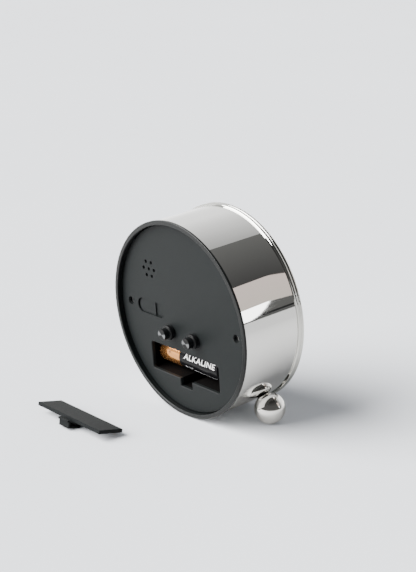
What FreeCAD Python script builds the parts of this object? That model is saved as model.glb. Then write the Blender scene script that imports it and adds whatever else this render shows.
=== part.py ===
import FreeCAD, Part
import math
import os

os.makedirs("parts", exist_ok=True)
V = FreeCAD.Vector

# Flip number clock: a short chrome drum lying on its side, leaning back, with a
# flip-number movement behind a lens at the front and a battery bay at the back.
# All lengths in mm. The case is drawn upright with its axis along Y, its rear
# face at y = 0 and its front towards -Y, then leaned back and lifted to stand on
# two balls and the lowest point of its rear ring.

# Case
LEAN = 5.0
RING_R = 54.0
LIFT = RING_R * math.cos(math.radians(LEAN))
TUBE_R = 53.3
TUBE_BORE = 52.4
TUBE_FRONT = -37.6
TUBE_REAR = -1.2
FRONT_Y = -40.5
LENS_R = 51.1
LENS_FRONT = -39.7
LENS_REAR = -38.2
COVER_R = 51.35
PLATE_Y = -3.1
PLATE_IN = -5.1
BALL_R = 8.3
BALL_X = 37.5
BALL_Y = -32.1

# Dial
DIAL_R = 50.6
DIAL_FRONT = -32.2
DIAL_REAR = -31.0
WINDOW_HALF = 12.0
POST_X = 43.75
POST_Z = 0.2

# Flip movement
AXIS_Y = -22.66
AXIS_Z = 0.0
AXLE_R = 0.8
BORE_GAP = 0.05
PIVOT_R = 4.6
LEAF_T = 0.25
LEAF_TIP = 11.69
LEAF_ROOT = 0.6
TAB_R = 0.3
FLANGE_R = 5.6
FLANGE_T = 0.9
HUB_R = 2.0
HOUR_X = (-31.0, -5.0)
TEN_X = (0.0, 13.0)
UNIT_X = (18.0, 31.0)
CARRY_DIST = 9.0
CARRY_Y = 3.5
SIDE_X = 33.8
SIDE_T = 1.0
STUD_R = 0.6

# Battery bay
BAY_X = (-27.5, 28.3)
BAY_Z = (-35.0, -19.3)
NOTCH_X = (-4.5, 5.1)
NOTCH_Z = -39.4
TRAY_FLOOR = -25.4
TRAY_WALL = 1.3
TRAY_LEFT = 32.6
CELL_R = 7.25
CELL_LEN = 50.5
CELL_X = 30.6
CELL_Y = -15.6
CELL_Z = -27.1

# Controls
KNOB_X = 10.0
KNOB_Z = -9.5
SHAFT_R = 1.5
SLOT_X = (14.5, 37.6)
SLOT_HALF = 4.0
SLOT_Z = 0.1
SLOT_FLOOR = -4.3
WELL_END = -7.9
SPEAKER = (25.4, 22.4)
BOARD_REAR = -6.6
BOARD_FRONT = -7.6

# Loose battery cover, lying on the table
LID_LEN = 55.3
LID_WIDE = 15.0
LID_T = 1.9
LID_X = -2.7
LID_Y = 38.5
LID_TOP = 3.8
LID_TILT = 10.37


def box(x, y, z):
    """Box between pairs of x, y and z values."""
    corner = V(min(x), min(y), min(z))
    return Part.makeBox(abs(x[1] - x[0]), abs(y[1] - y[0]), abs(z[1] - z[0]), corner)


def rod_x(r, x, y, z):
    """Cylinder along X between two x values."""
    return Part.makeCylinder(r, abs(x[1] - x[0]), V(min(x), y, z), V(1, 0, 0))


def rod_y(r, y, x=0.0, z=0.0):
    """Cylinder along Y between two y values."""
    return Part.makeCylinder(r, abs(y[1] - y[0]), V(x, min(y), z), V(0, 1, 0))


def tube_y(r_out, r_in, y, x=0.0, z=0.0):
    """Ring along Y between two y values."""
    return rod_y(r_out, y, x, z).cut(rod_y(r_in, y, x, z))


def face_of(points):
    """Flat face through a closed run of points."""
    return Part.Face(Part.makePolygon(list(points) + [points[0]]))


def turned(steps, x=0.0, z=0.0):
    """Solid of revolution about a line along Y. Each step is a (radius, y) point,
    or a pair of them: a point on an arc and the arc's end."""
    edges = []
    here = steps[0]
    for step in list(steps[1:]) + [steps[0]]:
        if isinstance(step[0], tuple):
            mid, end = step
            arc = Part.Arc(V(x + here[0], here[1], z), V(x + mid[0], mid[1], z), V(x + end[0], end[1], z))
            edges.append(arc.toShape())
            here = end
        elif step != here:
            edges.append(Part.makeLine(V(x + here[0], here[1], z), V(x + step[0], step[1], z)))
            here = step
    return Part.Face(Part.Wire(edges)).revolve(V(x, 0, z), V(0, 1, 0), 360)


def slab_y(outline, y):
    """Plate of an (x, z) outline between two y values."""
    face = face_of([V(px, min(y), pz) for px, pz in outline])
    return face.extrude(V(0, abs(y[1] - y[0]), 0))


def slab_x(outline, x):
    """Plate of a (y, z) outline between two x values."""
    face = face_of([V(min(x), py, pz) for py, pz in outline])
    return face.extrude(V(abs(x[1] - x[0]), 0, 0))


def round_box(x, y, z, r):
    """Box whose four edges along Y are rounded."""
    block = box(x, y, z)
    edges = [e for e in block.Edges if abs(e.Vertexes[0].Y - e.Vertexes[1].Y) > 0.01]
    return block.makeFillet(r, edges)


def fused(shapes):
    """One solid from several that touch."""
    first = shapes[0]
    return first.fuse(list(shapes[1:])).removeSplitter()


def link_x(r, a, b, x):
    """Plate with round ends from point a to point b, each (y, z), between two x values."""
    length = math.hypot(b[0] - a[0], b[1] - a[1])
    side_y = -(b[1] - a[1]) / length * r
    side_z = (b[0] - a[0]) / length * r
    bar = slab_x([(a[0] + side_y, a[1] + side_z), (b[0] + side_y, b[1] + side_z),
                  (b[0] - side_y, b[1] - side_z), (a[0] - side_y, a[1] - side_z)], x)
    return fused([bar, rod_x(r, x, a[0], a[1]), rod_x(r, x, b[0], b[1])])


def wire_run(points, r):
    """Round wire through a run of points: straight runs joined by tangent arcs."""
    points = [V(*p) for p in points]
    edges = []
    here = points[0]
    for before, corner, after in zip(points, points[1:], points[2:]):
        back = before - corner
        on = after - corner
        turn = math.pi - back.getAngle(on)
        reach = 0.45 * min(back.Length, on.Length)
        back.normalize()
        on.normalize()
        start = corner + back * reach
        end = corner + on * reach
        inward = back + on
        inward.normalize()
        radius = reach / math.tan(turn / 2)
        centre = corner + inward * (radius / math.cos(turn / 2))
        middle = centre - inward * radius
        edges.append(Part.makeLine(here, start))
        edges.append(Part.Arc(start, middle, end).toShape())
        here = end
    edges.append(Part.makeLine(here, points[-1]))
    path = Part.Wire(edges)
    profile = Part.Wire([Part.makeCircle(r, points[0], points[1] - points[0])])
    return path.makePipeShell([profile], True, True)


def gear(module, teeth, phase, x, y, z, bore):
    """Spur gear with its axis along X and one tooth centred at the angle phase.
    The angle runs from the front (-Y) at 0 to the top (+Z) at 90 degrees."""
    pitch = module * teeth / 2
    base = pitch * math.cos(math.radians(20))
    tip = pitch + 0.85 * module
    root = pitch - 1.15 * module
    half = math.pi / 2 / teeth - 0.16 * module / pitch

    def involute(r):
        cosine = min(1.0, base / r)
        angle = math.acos(cosine)
        return math.tan(angle) - angle

    radii = [root]
    radii += [r for r in (base, (base + pitch) / 2, pitch, (pitch + tip) / 2, tip) if r > root + 0.02]
    flank = []
    for r in radii:
        flank.append((r, half + involute(pitch) - involute(max(r, base))))
    points = []
    for k in range(teeth):
        middle = math.radians(phase) + 2 * math.pi * k / teeth
        side = [(r, middle - a) for r, a in flank] + [(r, middle + a) for r, a in reversed(flank)]
        points += [(y - r * math.cos(a), z + r * math.sin(a)) for r, a in side]
    blank = slab_x(points, x)
    return blank.cut(rod_x(bore, (min(x) - 1, max(x) + 1), y, z))


PARTS = []


def keep(node, shapes, leaned=True):
    """Write one node: a solid or a group of solids."""
    shapes = list(shapes) if isinstance(shapes, (list, tuple)) else [shapes]
    solids = []
    for shape in shapes:
        solids += shape.Solids
    for solid in solids:
        if leaned:
            solid.rotate(V(0, 0, 0), V(1, 0, 0), -LEAN)
            solid.translate(V(0, 0, LIFT))
    whole = solids[0] if len(solids) == 1 else Part.makeCompound(solids)
    whole.exportStep("parts/" + node + ".step")
    PARTS.append(node)


# ---------------------------------------------------------------- case shell
ball_drop = -LIFT + BALL_R
lean = math.radians(LEAN)
BALL_LOCAL_Y = BALL_Y * math.cos(lean) - ball_drop * math.sin(lean)
BALL_LOCAL_Z = BALL_Y * math.sin(lean) + ball_drop * math.cos(lean)
BALL_REACH = math.hypot(BALL_X, BALL_LOCAL_Z)


def foot_rod(r, side, start, end):
    """Round rod along the line from the case axis to one ball."""
    out = V(side * BALL_X / BALL_REACH, 0, BALL_LOCAL_Z / BALL_REACH)
    base = V(0, BALL_LOCAL_Y, 0) + out * start
    return Part.makeCylinder(r, end - start, base, out)


tube = tube_y(TUBE_R, TUBE_BORE, (TUBE_FRONT, TUBE_REAR))
for side in (-1, 1):
    tube = tube.cut(foot_rod(1.05, side, 50, 56))
keep("case_tube", tube)

keep("front_bezel", turned([
    (53.35, -36.6), (53.8, -36.6), ((54.4, -37.5), (53.9, -38.45)), ((54.35, -39.4), (53.2, -40.35)),
    (52.6, FRONT_Y), (49.4, FRONT_Y), ((48.75, -40.3), (48.5, LENS_FRONT)), (51.2, LENS_FRONT),
    (51.2, TUBE_FRONT), (53.35, TUBE_FRONT)]))

keep("lens", rod_y(LENS_R, (LENS_FRONT, LENS_REAR)))
keep("lens_gasket", tube_y(51.15, 49.2, (LENS_REAR, TUBE_FRONT)))
keep("inner_ring", turned([
    (48.8, TUBE_FRONT), (52.35, TUBE_FRONT), (52.35, -36.8), (49.8, -36.8), (48.2, DIAL_FRONT - 1),
    (DIAL_R, DIAL_FRONT - 1), (DIAL_R, DIAL_FRONT), (46.9, DIAL_FRONT)]))

dial = rod_y(DIAL_R, (DIAL_FRONT, DIAL_REAR))
for span in (HOUR_X, TEN_X, UNIT_X):
    dial = dial.cut(round_box((span[0] - 0.5, span[1] + 0.5), (DIAL_FRONT - 1, DIAL_REAR + 1),
                              (AXIS_Z - WINDOW_HALF, AXIS_Z + WINDOW_HALF), 0.4))
posts = [rod_y(3.4, (DIAL_REAR, WELL_END), side * POST_X, POST_Z) for side in (-1, 1)]
dial = fused([dial] + posts)
for side in (-1, 1):
    dial = dial.cut(rod_y(1.1, (-19.4, -7.0), side * POST_X, POST_Z))
    for tab_z in (20.0, -10.0):
        dial = dial.cut(rod_y(0.6, (DIAL_REAR - 0.8, DIAL_REAR + 1), side * 37.2, tab_z))
keep("dial_plate", dial)

keep("rear_ring", turned([
    (51.9, 0.0), (53.6, 0.0), ((53.88, -0.12), (RING_R, -0.4)), (RING_R, TUBE_REAR),
    (52.35, TUBE_REAR), (52.35, -6.3), (50.2, -6.3), (50.2, PLATE_IN), (51.6, PLATE_IN),
    (51.6, -0.3), ((51.69, -0.09), (51.9, 0.0))]))

# ---------------------------------------------------------------- rear cover
cover = turned([
    (0.0, PLATE_IN), (COVER_R, PLATE_IN), (COVER_R, PLATE_Y - 0.25),
    ((COVER_R - 0.07, PLATE_Y - 0.07), (COVER_R - 0.25, PLATE_Y)), (0.0, PLATE_Y)])
wells = [rod_y(3.4, (WELL_END, PLATE_Y - 0.5), side * POST_X, POST_Z) for side in (-1, 1)]
cover = fused([cover] + wells)
for side in (-1, 1):
    cover = cover.cut(rod_y(2.25, (WELL_END + 1.0, 0), side * POST_X, POST_Z))
    cover = cover.cut(rod_y(1.4, (WELL_END - 1, 0), side * POST_X, POST_Z))
    cover = cover.cut(rod_y(SHAFT_R + BORE_GAP, (-6, 0), side * KNOB_X, KNOB_Z))
cover = cover.cut(round_box(BAY_X, (-6, 0), BAY_Z, 1.7))
cover = cover.cut(round_box(NOTCH_X, (-6, 0), (NOTCH_Z, BAY_Z[0] + 2), 0.8))
mouth = [e for e in cover.Edges if abs(e.BoundBox.YMax - PLATE_Y) < 0.01 and abs(e.BoundBox.YMin - PLATE_Y) < 0.01
         and e.BoundBox.ZMax < BAY_Z[1] + 0.1 and e.BoundBox.ZMin > NOTCH_Z - 0.1]
cover = cover.makeChamfer(0.25, mouth)
cover = cover.cut(round_box(SLOT_X, (SLOT_FLOOR, 0), (SLOT_Z - SLOT_HALF, SLOT_Z + SLOT_HALF), SLOT_HALF - 0.02))
cover = cover.cut(box((23.8, 33.2), (-6, 0), (SLOT_Z - 1.3, SLOT_Z + 1.3)))
holes = [(0.0, 0.0)]
for k in range(6):
    angle = math.radians(60 * k)
    holes.append((4.4 * math.cos(angle), 4.4 * math.sin(angle)))
for hx, hz in holes:
    cover = cover.cut(rod_y(1.0, (-6, 0), SPEAKER[0] + hx, SPEAKER[1] + hz))
keep("rear_cover", cover)

keep("cover_screws", [fused([rod_y(2.05, (-6.9, -5.3), side * POST_X, POST_Z),
                             rod_y(1.05, (-18.0, -6.9), side * POST_X, POST_Z)])
                      .cut(box((side * POST_X - 0.3, side * POST_X + 0.3), (-5.9, -5), (POST_Z - 1.3, POST_Z + 1.3)))
                      .cut(box((side * POST_X - 1.3, side * POST_X + 1.3), (-5.9, -5), (POST_Z - 0.3, POST_Z + 0.3)))
                      for side in (-1, 1)])

# ---------------------------------------------------------------- battery bay
tray_y = (TRAY_FLOOR - TRAY_WALL, PLATE_IN)
tray = box((BAY_X[0] - TRAY_WALL, TRAY_LEFT + TRAY_WALL), tray_y,
           (BAY_Z[0] - TRAY_WALL, BAY_Z[1] + TRAY_WALL))
tray = tray.cut(box((BAY_X[0], TRAY_LEFT), (TRAY_FLOOR, 0), BAY_Z))
pocket = box((NOTCH_X[0] - 1.2, NOTCH_X[1] + 1.2), (-21.2, PLATE_IN), (NOTCH_Z - 1.2, BAY_Z[0] - 0.5))
tray = fused([tray, pocket])
tray = tray.cut(box(NOTCH_X, (-20.0, 0), (NOTCH_Z, BAY_Z[0] + 0.5)))
cradles = []
for rib_x in (-14.0, 4.0, 22.0):
    rib = box((rib_x - 1, rib_x + 1), (TRAY_FLOOR - 0.5, -21.0), (BAY_Z[0] - 0.5, BAY_Z[1] + 0.5))
    cradles.append(rib.cut(rod_x(CELL_R + 0.15, (rib_x - 2, rib_x + 2), CELL_Y, CELL_Z)))
tray = fused([tray] + cradles)
for slot_x in (-20.0, 20.8):
    tray = tray.cut(box((slot_x - 2.4, slot_x + 2.4), (-7.6, 0), (BAY_Z[1] - 1, BAY_Z[1] + 0.9)))
tray = tray.cut(box((31.5, 32.3), (-16.2, -13.0), (BAY_Z[1] - 1, BAY_Z[1] + 3)))
tray = tray.cut(box((BAY_X[0], -25.6), (-9.9, 0), (BAY_Z[1] - 1, BAY_Z[1] + 3)))
tray = tray.common(rod_y(49.9, (-30, 0)))
keep("battery_tray", tray)

cell = fused([
    rod_x(CELL_R, (CELL_X - 1.2, CELL_X - CELL_LEN + 0.3), CELL_Y, CELL_Z),
    rod_x(2.75, (CELL_X, CELL_X - 2), CELL_Y, CELL_Z),
    rod_x(5.0, (CELL_X - CELL_LEN, CELL_X - CELL_LEN + 1), CELL_Y, CELL_Z)])
rims = [e for e in cell.Edges if e.Closed and abs(e.Length - 2 * math.pi * CELL_R) < 0.1]
cell = cell.makeFillet(0.9, [e for e in rims if e.BoundBox.Center.x > 0])
rims = [e for e in cell.Edges if e.Closed and abs(e.Length - 2 * math.pi * CELL_R) < 0.1]
cell = cell.makeFillet(0.5, [e for e in rims if e.BoundBox.Center.x < -10])
keep("battery", cell)

contact = fused([box((31.7, 32.1), (-21.0, -12.0), (-31.0, -23.0)),
                 box((31.7, 32.1), (-16.0, -13.2), (-23.5, -16.9)),
                 rod_x(1.4, (31.8, 31.5), CELL_Y, CELL_Z),
                 Part.makeCone(1.4, 0.7, 0.5, V(31.5, CELL_Y, CELL_Z), V(-1, 0, 0)),
                 box((31.9, TRAY_LEFT), (-20.0, -18.6), (-30.0, -24.0))])
keep("positive_contact", contact)

COIL_TURNS = 4
COIL_LENGTH = 6.15
helix = Part.makeHelix(COIL_LENGTH / COIL_TURNS, COIL_LENGTH, 3.2)
helix.rotate(V(0, 0, 0), V(0, 1, 0), 90)
helix.translate(V(BAY_X[0] + 0.75, CELL_Y, CELL_Z))
coil_start = helix.Vertexes[0].Point
coil_profile = Part.Wire([Part.makeCircle(0.35, coil_start, V(0, 1, 0))])
coil = Part.Wire(helix.Edges).makePipeShell([coil_profile], True, True)
spring_plate = fused([box((BAY_X[0], BAY_X[0] + 0.4), (-22.5, -8.4), (-32.0, -22.0)),
                      box((BAY_X[0], BAY_X[0] + 0.4), (-12.0, -8.4), (-24.0, -20.4))])
keep("negative_spring", [spring_plate, coil])

# ---------------------------------------------------------------- controls
for side, node in ((1, "time_knob"), (-1, "alarm_knob")):
    kx = side * KNOB_X
    knob = turned([
        (0.0, -10.0), (SHAFT_R, -10.0), (SHAFT_R, -2.95), (3.6, -2.95), (3.6, -2.3), (3.9, -2.1), (4.1, -1.9),
        (4.1, -0.35), ((4.0, -0.05), (3.7, 0.1)), (3.35, 0.15), ((3.2, 0.23), (3.15, 0.4)),
        (3.0, 3.35), ((2.94, 3.53), (2.78, 3.6)), (0.0, 3.6)], kx, KNOB_Z)
    keep(node, knob)

encoders = []
for side in (-1, 1):
    kx = side * KNOB_X
    body = box((kx - 3, kx + 3), (-10.6, BOARD_FRONT), (KNOB_Z - 3, KNOB_Z + 3))
    neck = rod_y(2.2, (BOARD_FRONT - 0.5, -5.6), kx, KNOB_Z)
    encoders.append(fused([body, neck]).cut(rod_y(SHAFT_R + BORE_GAP, (-10.2, -5), kx, KNOB_Z)))
keep("knob_encoders", encoders)

tray_in_x = (19.4, 37.4)
switch = box((tray_in_x[0] - 0.7, tray_in_x[1] + 0.5), (-7.4, PLATE_IN), (SLOT_Z - 4.2, SLOT_Z + 4.2))
switch = switch.cut(box(tray_in_x, (-6.6, 0), (SLOT_Z - 3.4, SLOT_Z + 3.4)))
keep("alarm_switch_body", switch)

lug_r = 3.85
slider = fused([box((22.9, 36.3 - lug_r), (SLOT_FLOOR + 0.05, -3.65), (SLOT_Z - lug_r, SLOT_Z + lug_r)),
                rod_y(lug_r, (SLOT_FLOOR + 0.05, -3.65), 36.3 - lug_r, SLOT_Z),
                box((29.0, 33.0), (-5.6, -4.2), (SLOT_Z - 1.2, SLOT_Z + 1.2)),
                box((26.0, 36.0), (-6.5, -5.3), (SLOT_Z - 3.0, SLOT_Z + 3.0))])
keep("alarm_switch_slider", slider)

board = slab_y([(-30, -16.6), (20, -16.6), (20, -6.4), (12.2, -6.4), (12.2, 14), (-30, 14)],
               (BOARD_FRONT, BOARD_REAR))
board_bosses = [(-27.0, -13.5), (-27.0, 11.0), (9.0, 11.0), (17.4, -13.8)]
for bx, bz in board_bosses:
    board = board.cut(rod_y(0.9, (-9, -5), bx, bz))
for side in (-1, 1):
    board = board.cut(rod_y(2.25, (-9, -5), side * KNOB_X, KNOB_Z))
keep("circuit_board", board)
keep("board_screws", [fused([rod_y(1.5, (BOARD_FRONT, BOARD_FRONT - 0.9), bx, bz),
                             rod_y(0.85, (BOARD_FRONT - 0.2, -5.15), bx, bz)]) for bx, bz in board_bosses])
keep("board_spacers", [tube_y(1.7, 0.95, (BOARD_REAR, PLATE_IN), bx, bz) for bx, bz in board_bosses])

chip = box((-8, -2), (BOARD_FRONT - 1.2, BOARD_FRONT), (0, 6))
legs = []
for k in range(5):
    for lx in (-9.0, -2.0):
        legs.append(box((lx, lx + 1.0), (BOARD_FRONT - 0.4, BOARD_FRONT), (0.4 + 1.2 * k, 0.8 + 1.2 * k)))
crystal = rod_x(1.0, (-18, -12), BOARD_FRONT - 1.0, 8.0)
caps = [rod_y(2.0, (BOARD_FRONT - 2.0, BOARD_FRONT), cx, cz) for cx, cz in ((-21.0, -9.5), (-21.0, 2.5))]
chips = [box((cx - 0.8, cx + 0.8), (BOARD_FRONT - 0.6, BOARD_FRONT), (cz - 0.4, cz + 0.4))
         for cx, cz in ((-12, 1), (-12, 3), (-12, 5), (3, 2), (3, 4.5), (8, 2), (8, 4.5))]
keep("board_components", [chip] + legs + [crystal] + caps + chips)

beeper = fused([rod_y(7.0, (-10.0, -5.5), *SPEAKER), rod_y(6.2, (-5.6, PLATE_IN), *SPEAKER)])
beeper = beeper.cut(rod_y(5.6, (-6.5, -5.0), *SPEAKER))
keep("beeper", beeper)

# ---------------------------------------------------------------- movement frame
pillars = [(-26.2, 17.2), (-11.6, 13.4), (-12.6, -14.6)]
motor_y, motor_z = AXIS_Y + 2.0 + 5.303, AXIS_Z + 12.339 + 5.303
for side, node in ((-1, "left_side_plate"), (1, "right_side_plate")):
    near, far = side * SIDE_X, side * (SIDE_X + SIDE_T)
    plate = slab_x([(DIAL_REAR, -13), (-10.6, -16.6), (-9.7, 11), (-9.7, 16), (-13.0, 24.0), (DIAL_REAR, 24.0)],
                   (near, far))
    tabs = [box((near, side * 39.4), (DIAL_REAR, DIAL_REAR + 1.1), (tz - 2.5, tz + 2.5)) for tz in (20.0, -10.0)]
    plate = fused([plate] + tabs)
    for tz in (20.0, -10.0):
        plate = plate.cut(rod_y(0.75, (DIAL_REAR - 1, DIAL_REAR + 2), side * 37.2, tz))
    plate = plate.cut(rod_x(AXLE_R, (near - 2, near + 2), AXIS_Y, AXIS_Z))
    for py, pz in pillars:
        plate = plate.cut(rod_x(0.7, (near - 2, near + 2), py, pz))
    if side == 1:
        plate = plate.cut(rod_x(1.6, (near - 2, near + 2), motor_y, motor_z))
        plate = plate.cut(rod_x(0.9, (near - 2, near + 2), AXIS_Y + 2.0, AXIS_Z + 12.339))
    keep(node, plate)

keep("frame_pillars", [rod_x(1.3, (-SIDE_X, SIDE_X), py, pz)
                       .cut(rod_x(0.65, (-SIDE_X, -SIDE_X + 4), py, pz))
                       .cut(rod_x(0.65, (SIDE_X, SIDE_X - 4), py, pz)) for py, pz in pillars])
screws = []
for side in (-1, 1):
    outer = side * (SIDE_X + SIDE_T)
    for py, pz in pillars:
        screws.append(fused([rod_x(1.3, (outer, outer + side * 0.8), py, pz),
                             rod_x(0.6, (outer, outer - side * 4), py, pz)]))
    for tz in (20.0, -10.0):
        screws.append(fused([rod_y(1.4, (DIAL_REAR + 1.1, DIAL_REAR + 2.0), side * 37.2, tz),
                             rod_y(0.55, (DIAL_REAR - 0.7, DIAL_REAR + 1.2), side * 37.2, tz)]))
keep("frame_screws", screws)
keep("drum_axle", rod_x(AXLE_R, (-35.4, 35.4), AXIS_Y, AXIS_Z))


# ---------------------------------------------------------------- drums and leaves
def flange(inner, outward):
    """Drum end disc with the round groove that the leaf tabs sit in."""
    outer = inner + outward * FLANGE_T
    disc = rod_x(FLANGE_R, (inner, outer), AXIS_Y, AXIS_Z)
    groove = rod_x(PIVOT_R + 0.45, (inner, inner + outward * 0.35), AXIS_Y, AXIS_Z)
    core = rod_x(PIVOT_R - 0.45, (inner, inner + outward * 0.35), AXIS_Y, AXIS_Z)
    return disc.cut(groove.cut(core))


def drum(span, ends, gears):
    """Spool for one set of leaves; ends are the hub's x values."""
    left, right = span[0] - 0.2, span[1] + 0.2
    pieces = [rod_x(HUB_R, (left, right), AXIS_Y, AXIS_Z), flange(left, -1), flange(right, 1)]
    pieces += [rod_x(1.35, ends, AXIS_Y, AXIS_Z)] + gears
    return fused(pieces).cut(rod_x(AXLE_R + BORE_GAP, (ends[0] - 1, ends[1] + 1), AXIS_Y, AXIS_Z))


def leaf(span, pivot_angle, lie_angle, reach):
    """One number leaf: pivot_angle places its tabs, lie_angle is the way it lies."""
    py = AXIS_Y - PIVOT_R * math.cos(math.radians(pivot_angle))
    pz = AXIS_Z + PIVOT_R * math.sin(math.radians(pivot_angle))
    flat = box(span, (py - LEAF_T / 2, py + LEAF_T / 2), (pz - LEAF_ROOT, pz + reach))
    pins = rod_x(TAB_R, (span[0] - 0.45, span[1] + 0.45), py, pz)
    whole = fused([flat, pins])
    whole.rotate(V(0, py, pz), V(1, 0, 0), -(lie_angle - 90.0))
    return whole


def leaf_set(span, count):
    """The falling front leaf and the rest of the pack."""
    step = 360.0 / count
    reach = LEAF_TIP - PIVOT_R * math.sin(math.radians(step / 2))
    front = leaf(span, step / 2, 90.0, reach)
    pack = []
    for k in range(1, count):
        pivot_angle = step / 2 + step * k
        lie = pivot_angle + 90.0 - step / 2
        if pivot_angle > 180.0 + step / 2 + 0.01:
            lie = 270.0
        pack.append(leaf(span, pivot_angle, lie, reach))
    return front, pack


carry_z = math.sqrt(CARRY_DIST ** 2 - CARRY_Y ** 2)
CARRY = (AXIS_Y + CARRY_Y, AXIS_Z + carry_z)
carry_angle = math.degrees(math.atan2(carry_z, -CARRY_Y))
to_drum = carry_angle + 180.0
M_UNIT, M_TEN = 2 * CARRY_DIST / 50, 2 * CARRY_DIST / 40
M_TEN2, M_HOUR = 2 * CARRY_DIST / 34, 2 * CARRY_DIST / 35
IDLER = (AXIS_Y + 2.0, AXIS_Z + 12.339)
idler_angle = math.degrees(math.atan2(12.339, -2.0))
motor_angle = math.degrees(math.atan2(motor_z - IDLER[1], -(motor_y - IDLER[0])))
idler_phase = idler_angle + 180.0
pinion_phase = motor_angle + 180.0 - 2.0 * (idler_phase - motor_angle) - 18.0

unit_gears = [gear(M_UNIT, 10, carry_angle, (15.3, 16.95), AXIS_Y, AXIS_Z, 0.85),
              gear(0.5, 30, idler_angle + 6.0, (32.05, 33.1), AXIS_Y, AXIS_Z, 0.85)]
ten_gears = [gear(M_TEN, 30, carry_angle + 6.0, (14.05, 15.1), AXIS_Y, AXIS_Z, 0.85),
             gear(M_TEN2, 10, carry_angle, (-2.7, -1.05), AXIS_Y, AXIS_Z, 0.85)]
hour_gears = [gear(M_HOUR, 25, carry_angle + 7.2, (-3.95, -2.9), AXIS_Y, AXIS_Z, 0.85)]
keep("minute_drum", drum(UNIT_X, (16.9, 33.6), unit_gears))
keep("ten_minute_drum", drum(TEN_X, (-1.1, 15.1), ten_gears))
keep("hour_drum", drum(HOUR_X, (-33.6, -2.9), hour_gears))

for span, count, pack_node, front_node in ((UNIT_X, 10, "minute_leaves", "minute_front_leaf"),
                                           (TEN_X, 12, "ten_minute_leaves", "ten_minute_front_leaf"),
                                           (HOUR_X, 12, "hour_leaves", "hour_front_leaf")):
    front, pack = leaf_set(span, count)
    keep(front_node, front)
    keep(pack_node, pack)

catches = []
for span in (HOUR_X, TEN_X, UNIT_X):
    middle = (span[0] + span[1]) / 2
    ends = (middle - 2, middle + 2)
    clip = fused([rod_x(1.9, ends, *pillars[0]), box(ends, (-27.75, -27.45), (11.95, 17.2))])
    catches.append(clip.cut(rod_x(1.3, ends, *pillars[0])))
keep("leaf_catches", catches)

# ---------------------------------------------------------------- carry gears and drive
for node, gear_node, plate_x, wheel, pinion in (
        ("minute_carry_bracket", "minute_carry_gear", 16.25,
         gear(M_UNIT, 40, to_drum + 4.5, (15.4, 16.1), *CARRY, STUD_R + BORE_GAP),
         gear(M_TEN, 10, to_drum, (14.15, 15.45), *CARRY, STUD_R + BORE_GAP)),
        ("hour_carry_bracket", "hour_carry_gear", -1.65,
         gear(M_TEN2, 24, to_drum + 7.5, (-2.5, -1.8), *CARRY, STUD_R + BORE_GAP),
         gear(M_HOUR, 10, to_drum, (-3.85, -2.45), *CARRY, STUD_R + BORE_GAP))):
    span = (plate_x, plate_x + 0.5)
    bracket = link_x(1.5, CARRY, pillars[1], span)
    bracket = fused([bracket, rod_x(2.1, (plate_x, plate_x + 0.9), *pillars[1]),
                     rod_x(STUD_R, (plate_x - 2.2, plate_x + 0.1), *CARRY),
                     rod_x(1.0, (plate_x - 2.6, plate_x - 2.2), *CARRY)])
    bracket = bracket.cut(rod_x(1.3, (plate_x - 1, plate_x + 1), *pillars[1]))
    keep(node, bracket)
    keep(gear_node, fused([wheel, pinion]))

keep("idler_gear", gear(0.5, 20, idler_phase, (32.2, 33.0), *IDLER, 0.9 + BORE_GAP))
keep("idler_stud", fused([rod_x(0.9, (32.1, 34.8), *IDLER), rod_x(1.6, (31.7, 32.1), *IDLER),
                          rod_x(1.5, (33.15, 33.75), *IDLER)]))
housing = fused([rod_x(7.0, (34.8, 43.4), motor_y, motor_z),
                 rod_x(1.5, (33.9, 35.0), motor_y, motor_z),
                 box((34.8, 35.4), (motor_y - 1.6, motor_y + 1.6), (motor_z - 8.6, motor_z - 6.0))])
housing = housing.cut(rod_x(0.55, (33, 38), motor_y, motor_z))
housing = housing.cut(rod_x(1.6, (34, 35.8), *pillars[1]))
keep("motor_housing", housing)
keep("motor_pinion", fused([gear(0.5, 10, pinion_phase, (32.1, 33.3), motor_y, motor_z, 0.3),
                            rod_x(0.5, (32.0, 37.8), motor_y, motor_z)]))

# ---------------------------------------------------------------- wiring
WIRE_R = 0.45
keep("battery_wires", [
    wire_run([(31.9, -13.15, -17.1), (31.6, -9.6, -17.1), (28.0, -8.6, -14.6), (22.5, -8.4, -13.0),
              (18.6, -8.1, -10.2)], WIRE_R),
    wire_run([(-26.8, -7.95, -21.0), (-26.8, -8.1, -18.4), (-25.5, -8.6, -16.6), (-23.4, -8.1, -15.2)], WIRE_R)])
keep("beeper_wires", [
    wire_run([(18.1, -8.2, 22.5 - gap), (14.6, -8.6, 21.6 - gap), (9.0, -8.8, 19.0 - gap),
              (4.0, -8.7, 14.6 - gap), (1.5, -8.02, 11.0 - gap)], 0.4) for gap in (0, 2.0)])
keep("motor_wires", [
    wire_run([(40.0, -9.35 - gap, 13.4 - gap), (37.5, -8.9, 11.6 - gap), (32.0, -8.8, 11.0 - gap),
              (22.0, -8.8, 9.6 - gap), (11.0, -8.02, 8.4 - gap)], 0.4) for gap in (0, 1.3)])

# ---------------------------------------------------------------- feet
for side, node in ((1, "ball_foot_left"), (-1, "ball_foot_right")):
    ball = Part.makeSphere(BALL_R, V(side * BALL_X, BALL_LOCAL_Y, BALL_LOCAL_Z))
    ball = ball.cut(rod_y(TUBE_R, (-45, 0)))
    ball = ball.cut(foot_rod(1.05, side, 52, 58))
    keep(node, ball)
keep("foot_studs", [fused([foot_rod(1.0, side, 50.6, 57.6), foot_rod(1.8, side, 51.0, 52.25)])
                    for side in (-1, 1)])

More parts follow.
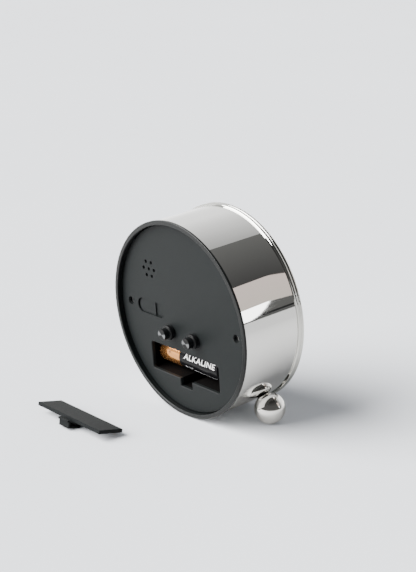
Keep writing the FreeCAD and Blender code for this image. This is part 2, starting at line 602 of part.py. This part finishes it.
# ---------------------------------------------------------------- battery cover, lying loose
lid = box((0, LID_LEN), (0, LID_WIDE), (-LID_T, 0))
lid = lid.makeFillet(0.35, [e for e in lid.Edges if e.BoundBox.ZMin > -0.01])
hooks = []
for hook_x in (6.0, 45.3):
    hooks.append(box((hook_x, hook_x + 4), (0.3, 1.6), (-3.69, -LID_T + 0.3)))
    hooks.append(box((hook_x, hook_x + 4), (-1.2, 1.6), (-3.69, -2.6)))
mid = LID_LEN / 2
latch = box((mid - 4.2, mid + 4.2), (9.6, 10.6), (-4.8, -LID_T + 0.3))
bend = box((mid - 4.2, mid + 4.2), (9.6, 17.2), (-5.67, -4.7))
outer_leg = box((mid - 4.2, mid + 4.2), (16.2, 17.2), (-5.67, -1.3))
ledge = box((mid - 4.2, mid + 4.2), (16.2, 18.2), (-2.3, -1.3))
lid = fused([lid, latch, bend, outer_leg, ledge] + hooks)
lid.rotate(V(0, 0, 0), V(1, 0, 0), LID_TILT)
lid.translate(V(LID_X, LID_Y, LID_TOP))
lid.translate(V(0, 0, -lid.BoundBox.ZMin))
keep("battery_cover", lid, leaned=False)
print(len(PARTS), "parts written")
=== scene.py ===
import math

import bmesh
import bpy
from mathutils import Matrix, Vector


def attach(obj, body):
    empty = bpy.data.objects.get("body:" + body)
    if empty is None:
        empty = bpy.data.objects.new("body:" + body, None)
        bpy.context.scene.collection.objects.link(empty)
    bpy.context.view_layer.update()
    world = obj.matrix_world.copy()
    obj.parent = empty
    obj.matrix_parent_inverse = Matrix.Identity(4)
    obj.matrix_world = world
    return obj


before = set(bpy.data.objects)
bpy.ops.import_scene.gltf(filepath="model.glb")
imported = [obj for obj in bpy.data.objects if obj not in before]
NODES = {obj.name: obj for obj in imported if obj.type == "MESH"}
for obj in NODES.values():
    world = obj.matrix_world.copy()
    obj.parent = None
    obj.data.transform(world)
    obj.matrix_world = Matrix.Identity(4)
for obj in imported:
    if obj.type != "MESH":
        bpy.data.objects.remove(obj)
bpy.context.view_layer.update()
scene = bpy.context.scene

MM = 0.001
LEAN = math.radians(5.0)
LIFT = 54.0 * math.cos(LEAN)
PRINT_GAP = 0.03
CASE = Matrix.Translation((0, 0, LIFT * MM)) @ Matrix.Rotation(-LEAN, 4, "X")


# ------------------------------------------------------------------ materials
def material(name):
    """A new node material and its main shader."""
    mat = bpy.data.materials.new(name)
    mat.use_nodes = True
    shader = mat.node_tree.nodes["Principled BSDF"]
    return mat, shader


def node(mat, kind, **values):
    """Adds a shader node, setting inputs by name."""
    made = mat.node_tree.nodes.new(kind)
    for key, value in values.items():
        made.inputs[key.replace("_", " ")].default_value = value
    return made


def link(mat, a, b):
    mat.node_tree.links.new(a, b)


def noise(mat, scale, detail=3.0, rough=0.55):
    """Noise in object space, scale in features per metre."""
    where = node(mat, "ShaderNodeTexCoord")
    made = node(mat, "ShaderNodeTexNoise", Scale=scale, Detail=detail, Roughness=rough)
    link(mat, where.outputs["Object"], made.inputs["Vector"])
    return made.outputs["Fac"]


def span(mat, source, low, high, start=0.3, end=0.7):
    """Maps a source from start..end to low..high."""
    made = node(mat, "ShaderNodeMapRange")
    made.inputs["From Min"].default_value = start
    made.inputs["From Max"].default_value = end
    made.inputs["To Min"].default_value = low
    made.inputs["To Max"].default_value = high
    link(mat, source, made.inputs["Value"])
    return made.outputs["Result"]


def tint(mat, source, dark, light, start=0.3, end=0.7):
    """Colour ramp between two colours."""
    ramp = node(mat, "ShaderNodeValToRGB")
    ramp.color_ramp.elements[0].position = start
    ramp.color_ramp.elements[1].position = end
    ramp.color_ramp.elements[0].color = (*dark, 1)
    ramp.color_ramp.elements[1].color = (*light, 1)
    link(mat, source, ramp.inputs["Fac"])
    return ramp.outputs["Color"]


def bumped(mat, shader, source, strength, depth):
    """Fine relief from a source value."""
    bump = node(mat, "ShaderNodeBump", Strength=strength, Distance=depth)
    link(mat, source, bump.inputs["Height"])
    link(mat, bump.outputs["Normal"], shader.inputs["Normal"])


def scaled(colour, k):
    """A colour made lighter or darker, never past white."""
    return tuple(min(1.0, c * k) for c in colour)


def plastic(name, colour, rough, grain=2600.0, depth=0.00004, spread=0.12, gloss=0.5):
    """Moulded plastic with a fine spark-eroded grain and slight cloudiness."""
    mat, shader = material(name)
    broad = noise(mat, 45.0, 4.0)
    cloudy = tint(mat, broad, scaled(colour, 1 - spread), scaled(colour, 1 + spread))
    link(mat, cloudy, shader.inputs["Base Color"])
    fine = noise(mat, grain, 2.0)
    link(mat, span(mat, fine, rough * 0.9, min(1.0, rough * 1.12)), shader.inputs["Roughness"])
    bumped(mat, shader, fine, 0.35, depth)
    shader.inputs["Specular IOR Level"].default_value = gloss
    return mat


def metal(name, colour, rough, streak=900.0, depth=0.00001, spread=0.05):
    """Bare or plated metal with faint handling marks in its gloss."""
    mat, shader = material(name)
    shader.inputs["Metallic"].default_value = 1.0
    broad = noise(mat, 60.0, 5.0)
    cloudy = tint(mat, broad, scaled(colour, 1 - spread), scaled(colour, 1 + spread / 2))
    link(mat, cloudy, shader.inputs["Base Color"])
    fine = noise(mat, streak, 3.0)
    link(mat, span(mat, fine, rough * 0.8, rough * 1.3), shader.inputs["Roughness"])
    if depth:
        bumped(mat, shader, fine, 0.15, depth)
    return mat


def paint(name, mat):
    """Gives a CAD node its material."""
    shape = NODES[name]
    if not shape.material_slots:
        shape.data.materials.append(mat)
    for place in shape.material_slots:
        place.material = mat


CHROME = metal("chrome_polished", (0.78, 0.779, 0.765), 0.03, streak=400.0, depth=0.0, spread=0.012)
# Painted shade: the bezel is the tube's chrome with a darker base colour, which dims its reflections.
BEZEL_SHADED_CHROME = metal("bezel_chrome_painted_shade", (0.60, 0.60, 0.575), 0.03, streak=400.0, depth=0.0, spread=0.012)
BALL_CHROME = metal("chrome_ball", (0.80, 0.79, 0.765), 0.03, streak=500.0, depth=0.0, spread=0.02)
FINE_GRAIN = {"grain": 3600.0, "depth": 0.00002, "spread": 0.05}
SHELL = plastic("shell_plastic", (0.0067, 0.0080, 0.0082), 0.48, gloss=0.10, **FINE_GRAIN)
RING = plastic("ring_plastic", (0.0034, 0.0041, 0.0042), 0.30, gloss=0.22, **FINE_GRAIN)
LID = plastic("lid_plastic", (0.0056, 0.0066, 0.0069), 0.58, gloss=0.07, **FINE_GRAIN)
BAY = plastic("bay_plastic", (0.0022, 0.0019, 0.0018), 0.65, depth=0.00003, gloss=0.05)
MASK = plastic("mask_plastic", (0.006, 0.006, 0.007), 0.6, grain=3000.0, gloss=0.08)
LEAF = plastic("leaf_plastic", (0.012, 0.012, 0.013), 0.5, grain=3000.0, gloss=0.12)
NATURAL = plastic("natural_plastic", (0.55, 0.53, 0.48), 0.42)
RUBBER = plastic("gasket_rubber", (0.02, 0.02, 0.02), 0.75)
CHIP = plastic("chip_plastic", (0.02, 0.02, 0.02), 0.5)
BOARD = plastic("board_mask", (0.012, 0.11, 0.05), 0.3, spread=0.2)
WIRE = plastic("wire_jacket", (0.35, 0.02, 0.015), 0.4)
SCREW = metal("bright_screw", (0.86, 0.86, 0.85), 0.32)
STEEL = metal("zinc_steel", (0.62, 0.62, 0.63), 0.25)
SPRING = metal("nickel_spring", (0.7, 0.69, 0.66), 0.2)
BRASS = metal("turned_brass", (0.78, 0.58, 0.26), 0.22)
CAN = metal("motor_can", (0.5, 0.5, 0.51), 0.35)

KNOB_X = 10.0
KNOB_HEIGHT = 9.5
KNOB_END = 3.5
# Turn of the painted highlight fans on the knob end face, and the knob's black and painted highlight
# colours.
HIGHLIGHT_FAN_TURN = math.radians(-24)
KNOB_BLACK, KNOB_PAINTED_HIGHLIGHT = (0.0035, 0.0038, 0.004), (0.15, 0.155, 0.16)


def maths(mat, operation, *sources):
    """Result of a maths node. A source is a socket or a plain number."""
    made = node(mat, "ShaderNodeMath")
    made.operation = operation
    for place, source in zip(made.inputs, sources):
        if isinstance(source, float):
            place.default_value = source
        else:
            link(mat, source, place)
    return made.outputs[0]


def knob_plastic(name, x_mid):
    """Gloss black knob. Its end face carries a painted highlight in two opposed fans, streaked by fine
    spun rings.
    """
    mat, shader = material(name)
    place = node(mat, "ShaderNodeTexCoord")
    upright = node(mat, "ShaderNodeMapping")
    upright.inputs["Rotation"].default_value = (LEAN, 0, 0)
    upright.inputs["Location"].default_value = (-x_mid * MM, LIFT * MM * math.sin(LEAN),
                                                KNOB_HEIGHT * MM - LIFT * MM * math.cos(LEAN))
    link(mat, place.outputs["Object"], upright.inputs["Vector"])
    split = node(mat, "ShaderNodeSeparateXYZ")
    link(mat, upright.outputs["Vector"], split.inputs["Vector"])
    face = span(mat, split.outputs["Y"], 0.0, 1.0, KNOB_END * MM, (KNOB_END + 0.06) * MM)
    # Painted highlight: two opposed fans on the end face, lighter and partly metallic, by angle round
    # the knob's axis.
    angle = maths(mat, "ARCTAN2", split.outputs["Z"], split.outputs["X"])
    highlight_fan_wave = maths(mat, "COSINE", maths(mat, "MULTIPLY_ADD", angle, 2.0, HIGHLIGHT_FAN_TURN))
    shine = span(mat, highlight_fan_wave, 0.0, 1.0, 0.25, 0.95)
    rings = node(mat, "ShaderNodeTexWave", Scale=900.0, Distortion=0.0)
    rings.wave_type = "RINGS"
    rings.rings_direction = "Y"
    link(mat, upright.outputs["Vector"], rings.inputs["Vector"])
    spun = span(mat, rings.outputs["Fac"], 0.8, 1.0, 0.0, 1.0)
    painted_fan_highlight = maths(mat, "MULTIPLY", maths(mat, "MULTIPLY", face, shine), spun)
    link(mat, tint(mat, painted_fan_highlight, KNOB_BLACK, KNOB_PAINTED_HIGHLIGHT, 0.0, 1.0), shader.inputs["Base Color"])
    link(mat, span(mat, face, 0.36, 0.42, 0.0, 1.0), shader.inputs["Roughness"])
    link(mat, span(mat, painted_fan_highlight, 0.0, 0.6, 0.0, 1.0), shader.inputs["Metallic"])
    shader.inputs["Specular IOR Level"].default_value = 0.14
    bumped(mat, shader, noise(mat, 2600.0), 0.2, 0.00001)
    return mat


TIME_KNOB = knob_plastic("time_knob_plastic", KNOB_X)
ALARM_KNOB = knob_plastic("alarm_knob_plastic", -KNOB_X)
GLASS, glass = material("lens_clear")
glass.inputs["Transmission Weight"].default_value = 1.0
glass.inputs["IOR"].default_value = 1.49
glass.inputs["Specular IOR Level"].default_value = 0.12
glass.inputs["Base Color"].default_value = (0.97, 0.985, 0.99, 1)
link(GLASS, span(GLASS, noise(GLASS, 120.0), 0.0, 0.005), glass.inputs["Roughness"])

FINISH = {
    CHROME: ["case_tube"],
    BEZEL_SHADED_CHROME: ["front_bezel"],
    BALL_CHROME: ["ball_foot_left", "ball_foot_right"],
    SHELL: ["rear_cover", "alarm_switch_slider"],
    RING: ["rear_ring"],
    LID: ["battery_cover"],
    TIME_KNOB: ["time_knob"],
    ALARM_KNOB: ["alarm_knob"],
    BAY: ["battery_tray", "alarm_switch_body"],
    MASK: ["dial_plate", "inner_ring"],
    LEAF: ["hour_leaves", "ten_minute_leaves", "minute_leaves", "hour_front_leaf",
           "ten_minute_front_leaf", "minute_front_leaf"],
    NATURAL: ["board_spacers", "left_side_plate", "right_side_plate", "hour_drum",
              "ten_minute_drum", "minute_drum", "idler_gear"],
    RUBBER: ["lens_gasket"],
    CHIP: ["knob_encoders", "board_components", "beeper"],
    BOARD: ["circuit_board"],
    WIRE: ["battery_wires", "beeper_wires", "motor_wires"],
    SCREW: ["cover_screws"],
    STEEL: ["board_screws", "frame_pillars", "frame_screws", "drum_axle", "minute_carry_bracket",
            "hour_carry_bracket", "idler_stud", "foot_studs"],
    SPRING: ["positive_contact", "negative_spring", "leaf_catches"],
    BRASS: ["minute_carry_gear", "hour_carry_gear", "motor_pinion"],
    CAN: ["motor_housing"],
    GLASS: ["lens"],
}
for finish, names in FINISH.items():
    for name in names:
        paint(name, finish)


# ------------------------------------------------------------------ battery jacket
CELL_R, CELL_Y, CELL_Z = 7.25, -15.6, -27.1
CELL_SPLIT = 11.9
CELL_SHOULDER = 29.2


def cell_jacket():
    """Printed cell: copper-coloured positive end, black body, bare nub."""
    mat, shader = material("cell_print")
    where = node(mat, "ShaderNodeTexCoord")
    split = node(mat, "ShaderNodeSeparateXYZ")
    link(mat, where.outputs["Object"], split.inputs["Vector"])
    ramp = node(mat, "ShaderNodeValToRGB")
    ramp.color_ramp.interpolation = "CONSTANT"
    black, copper, bare = (0.004, 0.004, 0.0045), (0.62, 0.27, 0.085), (0.62, 0.60, 0.56)
    stops = [(0.0, black), (0.5, copper), (0.98, bare)]
    ramp.color_ramp.elements[0].color = (*stops[0][1], 1)
    ramp.color_ramp.elements[1].position = stops[1][0]
    ramp.color_ramp.elements[1].color = (*stops[1][1], 1)
    last = ramp.color_ramp.elements.new(stops[2][0])
    last.color = (*stops[2][1], 1)
    edge = CELL_SPLIT * MM
    tip = CELL_SHOULDER * MM
    width = (tip - edge) / 0.48
    spanned = span(mat, split.outputs["X"], 0.0, 1.0, edge - 0.5 * width, edge + 0.5 * width)
    link(mat, spanned, ramp.inputs["Fac"])
    link(mat, ramp.outputs["Color"], shader.inputs["Base Color"])
    shine = span(mat, spanned, 0.0, 0.9, 0.49, 0.5)
    link(mat, shine, shader.inputs["Metallic"])
    link(mat, span(mat, shine, 0.1, 0.5, 0.0, 0.9), shader.inputs["Specular IOR Level"])
    link(mat, span(mat, noise(mat, 900.0), 0.13, 0.18), shader.inputs["Roughness"])
    return mat


paint("battery", cell_jacket())


def ink(name, colour, rough=0.5):
    """Matt printing ink, very slightly uneven."""
    mat, shader = material(name)
    fine = noise(mat, 1500.0)
    link(mat, tint(mat, fine, scaled(colour, 0.94), colour), shader.inputs["Base Color"])
    link(mat, span(mat, fine, rough * 0.9, rough * 1.1), shader.inputs["Roughness"])
    return mat


WHITE = ink("white_print", (0.86, 0.86, 0.84), 0.4)
BROWN = ink("brown_print", (0.10, 0.035, 0.012), 0.4)
GREY_PRINT = ink("grey_print", (0.42, 0.42, 0.42), 0.4)
LEAF_INK = ink("leaf_print", (0.88, 0.88, 0.85), 0.55)


def text_mesh(words, height, bold=0.0, spacing=1.0, wide=1.0):
    """Flat lettering as mesh geometry: x runs along the line, y up, its middle at the origin."""
    curve = bpy.data.curves.new("line", "FONT")
    curve.body = words
    curve.size = 1.0
    curve.space_character = spacing
    curve.offset = bold
    curve.resolution_u = 6
    temp = bpy.data.objects.new("line", curve)
    scene.collection.objects.link(temp)
    bpy.context.view_layer.update()
    mesh = bpy.data.meshes.new_from_object(temp)
    bpy.data.objects.remove(temp)
    bm = bmesh.new()
    bm.from_mesh(mesh)
    xs = [v.co.x for v in bm.verts]
    ys = [v.co.y for v in bm.verts]
    k = height / (max(ys) - min(ys))
    cx, cy = (max(xs) + min(xs)) / 2, (max(ys) + min(ys)) / 2
    for v in bm.verts:
        v.co = Vector(((v.co.x - cx) * k * wide, (v.co.y - cy) * k, 0))
    return bm


def as_object(name, bm, mat, body):
    """Turns a mesh in hand into a visible piece that rides on a body."""
    mesh = bpy.data.meshes.new(name)
    bm.normal_update()
    bm.to_mesh(mesh)
    bm.free()
    made = bpy.data.objects.new(name, mesh)
    made.data.materials.append(mat)
    scene.collection.objects.link(made)
    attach(made, body)
    return made


def slice_flat(bm, point, normal, **keep):
    """Cuts flat lettering along a plane."""
    geometry = bm.verts[:] + bm.edges[:] + bm.faces[:]
    bmesh.ops.bisect_plane(bm, geom=geometry, plane_co=point, plane_no=normal, **keep)


def cut_bands(bm, step, low, high):
    """Slices flat lettering into rows so that it can bend smoothly."""
    at = low
    while at < high:
        slice_flat(bm, (0, at, 0), (0, 1, 0))
        at += step


def on_cell(x, turn):
    """Point on the print of the cell, in the world, at an angle round it from facing out of the bay."""
    radius = CELL_R + PRINT_GAP
    return CASE @ (Vector((x, CELL_Y + radius * math.cos(turn), CELL_Z + radius * math.sin(turn))) * MM)


def cell_print(name, words, height, x_mid, angle, bold=0.0, spacing=1.0, wide=1.0, mat=None):
    """Lettering wrapped on the cell. angle turns it round the cell from facing out of the bay."""
    bm = text_mesh(words, height, bold, spacing, wide)
    cut_bands(bm, 0.35, -height / 2, height / 2)
    for v in bm.verts:
        v.co = on_cell(x_mid - v.co.x, math.radians(angle) + v.co.y / (CELL_R + PRINT_GAP))
    return as_object(name, bm, mat or WHITE, "battery")


def cell_line(name, x_start, x_end, angle, high):
    """Thin printed line along the cell."""
    bm = bmesh.new()
    middle, half_turn = math.radians(angle), high / 2 / (CELL_R + PRINT_GAP)
    pairs = [[bm.verts.new(on_cell(x, turn)) for x in (x_start, x_end)]
             for turn in (middle - half_turn, middle + half_turn)]
    bm.faces.new((pairs[0][0], pairs[0][1], pairs[1][1], pairs[1][0]))
    return as_object(name, bm, GREY_PRINT, "battery")


cell_print("cell_name_print", "ALKALINE", 3.1, -4.75, 20, bold=0.018, spacing=1.08, wide=1.24)
cell_print("cell_size_print", "AA  1.5 V", 1.15, 4.6, -28, bold=0.02, mat=GREY_PRINT)
cell_line("cell_line_print", 1.0, -5.0, -35, 0.35)
cell_print("cell_note_print", "ZINC MANGANESE DIOXIDE", 0.8, -10.8, -39, bold=0.01, mat=GREY_PRINT)
cell_print("cell_plus_print", "+", 2.0, 20.0, 14, bold=0.02, mat=BROWN)


# ------------------------------------------------------------------ numbers on the leaves
AXIS_Y, PIVOT_R, LEAF_T = -22.66, 4.6, 0.25
INK_T = 0.012
SPLIT_GAP = 0.25


def half_number(name, words, x_mid, y, upper, body, height=17.0, flip_about=None):
    """Half of a number, cut at the middle line. Seen from the front (-Y), x runs to the right.

    flip_about is the pivot height. It puts the print upside down on the back of an upright leaf,
    so that it reads properly when the leaf has fallen.
    """
    bm = text_mesh(words, height, bold=0.012, spacing=1.0, wide=0.86)
    keep_up = 1 if upper else -1
    slice_flat(bm, (0, SPLIT_GAP * keep_up, 0), (0, -keep_up, 0), clear_outer=True)
    for v in bm.verts:
        z = v.co.y
        if flip_about is not None:
            z = 2 * flip_about - z
        local = Vector((x_mid + v.co.x, y, z))
        v.co = CASE @ (local * MM)
    return as_object(name, bm, LEAF_INK, body)


# number shown, next number, middle in x, degrees between leaves, name of the set
SHOWN = (
    ("10", "11", -18.0, 30.0, "hour"),
    ("0", "1", 6.5, 30.0, "ten_minute"),
    ("9", "0", 24.5, 36.0, "minute"),
)
for words, after, x_mid, step, node_name in SHOWN:
    half = math.radians(step / 2)
    plane = AXIS_Y - PIVOT_R * math.cos(half)
    pivot_z = PIVOT_R * math.sin(half)
    front = plane - LEAF_T / 2 - INK_T
    rear = plane + LEAF_T / 2 + INK_T
    leaf = node_name + "_front_leaf"
    half_number(node_name + "_number_upper", words, x_mid, front, True, leaf)
    half_number(node_name + "_number_lower", words, x_mid, front, False, "case")
    half_number(node_name + "_next_lower", after, x_mid, rear, False, leaf, flip_about=pivot_z)

# ------------------------------------------------------------------ floor
FLOOR_HALF = 12
# Colours of the floor as seen in reflections only: painted shade on the side away from the key light,
# lighter on the other.
REFLECTION_SHADE_SIDE, REFLECTION_LIT_SIDE = (0.42, 0.42, 0.42), (0.93, 0.93, 0.93)
PAPER, paper = material("studio_paper")
grain = tint(PAPER, noise(PAPER, 3.0), (0.757, 0.781, 0.820), (0.777, 0.801, 0.840))
# Painted shade in reflections: in glossy rays only, the sheet's colour is darkened on the side away
# from the key light.
place = node(PAPER, "ShaderNodeTexCoord")
split = node(PAPER, "ShaderNodeSeparateXYZ")
link(PAPER, place.outputs["Object"], split.inputs["Vector"])
across = span(PAPER, split.outputs["X"], 0.0, 1.0, -0.35, 0.35)
reflection_shade = tint(PAPER, across, REFLECTION_SHADE_SIDE, REFLECTION_LIT_SIDE, 0.0, 1.0)
kind = node(PAPER, "ShaderNodeLightPath")
both = node(PAPER, "ShaderNodeMixRGB")
link(PAPER, kind.outputs["Is Glossy Ray"], both.inputs["Fac"])
link(PAPER, grain, both.inputs["Color1"])
link(PAPER, reflection_shade, both.inputs["Color2"])
link(PAPER, both.outputs["Color"], paper.inputs["Base Color"])
link(PAPER, span(PAPER, noise(PAPER, 900.0), 0.75, 0.85), paper.inputs["Roughness"])
paper.inputs["Specular IOR Level"].default_value = 0.2
sheet = bmesh.new()
corners = [(-1, -1), (1, -1), (1, 1), (-1, 1)]
sheet.faces.new([sheet.verts.new((x * FLOOR_HALF, y * FLOOR_HALF, 0)) for x, y in corners])
floor_mesh = bpy.data.meshes.new("studio_floor")
sheet.to_mesh(floor_mesh)
sheet.free()
floor = bpy.data.objects.new("studio_floor", floor_mesh)
scene.collection.objects.link(floor)
floor.data.materials.append(PAPER)


# ------------------------------------------------------------------ light
def toward(azimuth, elevation):
    """Direction from the clock: azimuth 0 points at -Y, 90 at +X."""
    a, e = math.radians(azimuth), math.radians(elevation)
    return Vector((math.sin(a) * math.cos(e), -math.cos(a) * math.cos(e), math.sin(e)))


KEY_FROM = toward(152, 37)
KEY = bpy.data.lights.new("key_light", "SUN")
KEY.energy = 14.0
KEY.angle = math.radians(56)
KEY.color = (1.0, 0.995, 0.985)
key = bpy.data.objects.new("key_light", KEY)
key.rotation_euler = KEY_FROM.to_track_quat("Z", "Y").to_euler()
key.location = KEY_FROM * 2
scene.collection.objects.link(key)

# Soft room light: one level for matt surfaces, and a graded one that only shines on glossy ones.
# The graded one fades out on the side of the room that the camera looks from.
world = bpy.data.worlds.new("studio")
scene.world = world
world.use_nodes = True
tree = world.node_tree
sky = tree.nodes["Background"]
sky.inputs["Color"].default_value = (0.95, 0.97, 1.0, 1)
sky.inputs["Strength"].default_value = 0.44
shown = tree.nodes.new("ShaderNodeBackground")
where = tree.nodes.new("ShaderNodeTexCoord")
split = tree.nodes.new("ShaderNodeSeparateXYZ")
tree.links.new(where.outputs["Generated"], split.inputs["Vector"])
ramp = tree.nodes.new("ShaderNodeValToRGB")
# height of the direction, level of the glow
GLOW = ((0.0, 2.9), (0.07, 2.5), (0.18, 2.18), (0.29, 2.05), (0.5, 1.98), (0.588, 1.72),
        (0.66, 1.47), (0.73, 1.24), (0.78, 1.08), (0.82, 0.87), (0.84, 0.757), (1.0, 0.6))
ramp.color_ramp.elements[1].position = 1.0
for where_z, level in GLOW[1:-1]:
    ramp.color_ramp.elements.new(where_z)
for stop, (where_z, level) in zip(ramp.color_ramp.elements, GLOW):
    stop.color = (level, level * 0.998, level * 0.985, 1)
tree.links.new(split.outputs["Z"], ramp.inputs["Fac"])
tree.links.new(ramp.outputs["Color"], shown.inputs["Color"])
side = tree.nodes.new("ShaderNodeVectorMath")
side.operation = "DOT_PRODUCT"
side.inputs[1].default_value = (0.77, -0.64, 0.0)
tree.links.new(where.outputs["Generated"], side.inputs[0])
room = tree.nodes.new("ShaderNodeMapRange")
room.inputs["From Min"].default_value = -0.10
room.inputs["From Max"].default_value = 0.45
room.inputs["To Min"].default_value = 0.05
room.inputs["To Max"].default_value = 1.0
tree.links.new(side.outputs["Value"], room.inputs["Value"])
tree.links.new(room.outputs["Result"], shown.inputs["Strength"])
rays = tree.nodes.new("ShaderNodeLightPath")
either = tree.nodes.new("ShaderNodeMixShader")
tree.links.new(rays.outputs["Is Glossy Ray"], either.inputs["Fac"])
tree.links.new(sky.outputs["Background"], either.inputs[1])
tree.links.new(shown.outputs["Background"], either.inputs[2])
tree.links.new(either.outputs["Shader"], tree.nodes["World Output"].inputs["Surface"])

EYE = Vector((-0.6226, 0.4973, 0.3072))
TUBE_R = 53.3


def mirrored(y, psi, far):
    """Where the line from the eye lands on a sphere after the tube reflects it at y and psi."""
    a = math.radians(psi)
    local = Vector((math.cos(a), 0, math.sin(a)))
    spot = CASE @ ((local * TUBE_R + Vector((0, y, 0))) * MM)
    normal = (CASE.to_3x3() @ local).normalized()
    view = (EYE - spot).normalized()
    out = normal * (2 * normal.dot(view)) - view
    start = spot - Vector((0, 0, LIFT * MM))
    along = start.dot(out)
    return spot + out * (math.sqrt(along * along - start.dot(start) + far * far) - along)


def level_at(line, y):
    """Value at y on a run of (y, value) points, held beyond its ends."""
    if y >= line[0][0]:
        return line[0][1]
    for (y0, p0), (y1, p1) in zip(line, line[1:]):
        if y >= y1:
            return p0 + (p1 - p0) * (y - y0) / (y1 - y0)
    return line[-1][1]


def card(name, upper, lower, ends, far, top, bottom, steps=40, rows=10):
    """Studio card seen only in reflections, between two lines of (y, psi) points on the case tube.

    Its glow runs from the colour top to the colour bottom.
    """
    bm = bmesh.new()
    layer = bm.verts.layers.float_color.new("glow")
    grid = []
    for i in range(steps + 1):
        y = ends[0] + (ends[1] - ends[0]) * i / steps
        a, b = level_at(upper, y), level_at(lower, y)
        line = []
        for j in range(rows + 1):
            k = j / rows
            vert = bm.verts.new(mirrored(y, a + (b - a) * k, far))
            vert[layer] = tuple(t + (u - t) * k for t, u in zip(top, bottom)) + (1.0,)
            line.append(vert)
        grid.append(line)
    for one, two in zip(grid, grid[1:]):
        for j in range(rows):
            bm.faces.new((one[j], two[j], two[j + 1], one[j + 1]))
    mesh = bpy.data.meshes.new(name)
    bm.to_mesh(mesh)
    bm.free()
    made = bpy.data.objects.new(name, mesh)
    mat = bpy.data.materials.new(name)
    mat.use_nodes = True
    mat.node_tree.nodes.clear()
    colour = mat.node_tree.nodes.new("ShaderNodeAttribute")
    colour.attribute_name = "glow"
    glowing = mat.node_tree.nodes.new("ShaderNodeEmission")
    mat.node_tree.links.new(colour.outputs["Color"], glowing.inputs["Color"])
    out = mat.node_tree.nodes.new("ShaderNodeOutputMaterial")
    mat.node_tree.links.new(glowing.outputs[0], out.inputs["Surface"])
    made.data.materials.append(mat)
    scene.collection.objects.link(made)
    made.visible_camera = False
    made.visible_diffuse = False
    made.visible_shadow = False
    made.visible_transmission = False
    return made


LINE_A = [(0, 122.9)]
LINE_B = [(-1, 148.2), (-25.3, 147.8), (-31.9, 148.8), (-38.1, 149.9)]
LINE_C = [(-1, 161.6), (-19.7, 161.1), (-38.0, 162.5)]
WEDGE = [(-1.7, 168.0), (-6.4, 168.0), (-11.9, 166.8), (-17.0, 164.3), (-20.4, 161.7)]
LINE_E = [(0, 166.5)]
LINE_F = [(0, 167.4)]
BLACK, WHITE_HOT = (0.02, 0.02, 0.02), (6.7, 6.7, 6.7)
WHOLE = (45, -80)
FAR = 0.60
card("dark_card", LINE_A, LINE_B, WHOLE, FAR, (0.182, 0.182, 0.176), (0.080, 0.079, 0.078))
card("warm_card", LINE_B, LINE_C, WHOLE, FAR, (1.12, 0.95, 0.89), (1.02, 0.92, 0.83))
card("low_card", LINE_C, LINE_E, WHOLE, FAR, (0.157, 0.157, 0.152), (0.15, 0.15, 0.145))
card("low_line", LINE_E, LINE_F, WHOLE, FAR, BLACK, BLACK, rows=2)
card("window_card", LINE_C, WEDGE, (20, -20.6), 0.59, WHITE_HOT, WHITE_HOT)

# ------------------------------------------------------------------ camera
camera = bpy.data.objects.new("camera", bpy.data.cameras.new("camera"))
scene.collection.objects.link(camera)
camera.data.sensor_width = 36.0
camera.data.lens = 100.6
camera.data.clip_start = 0.05
camera.data.clip_end = 30.0
RIGHT = Vector((-0.6398, -0.7686, 0.0))
UP = Vector((0.2169, -0.1806, 0.9593))
BACK = Vector((-0.7373, 0.6137, 0.2822))
camera.matrix_world = Matrix((
    (RIGHT.x, UP.x, BACK.x, EYE.x),
    (RIGHT.y, UP.y, BACK.y, EYE.y),
    (RIGHT.z, UP.z, BACK.z, EYE.z),
    (0, 0, 0, 1)))
scene.camera = camera
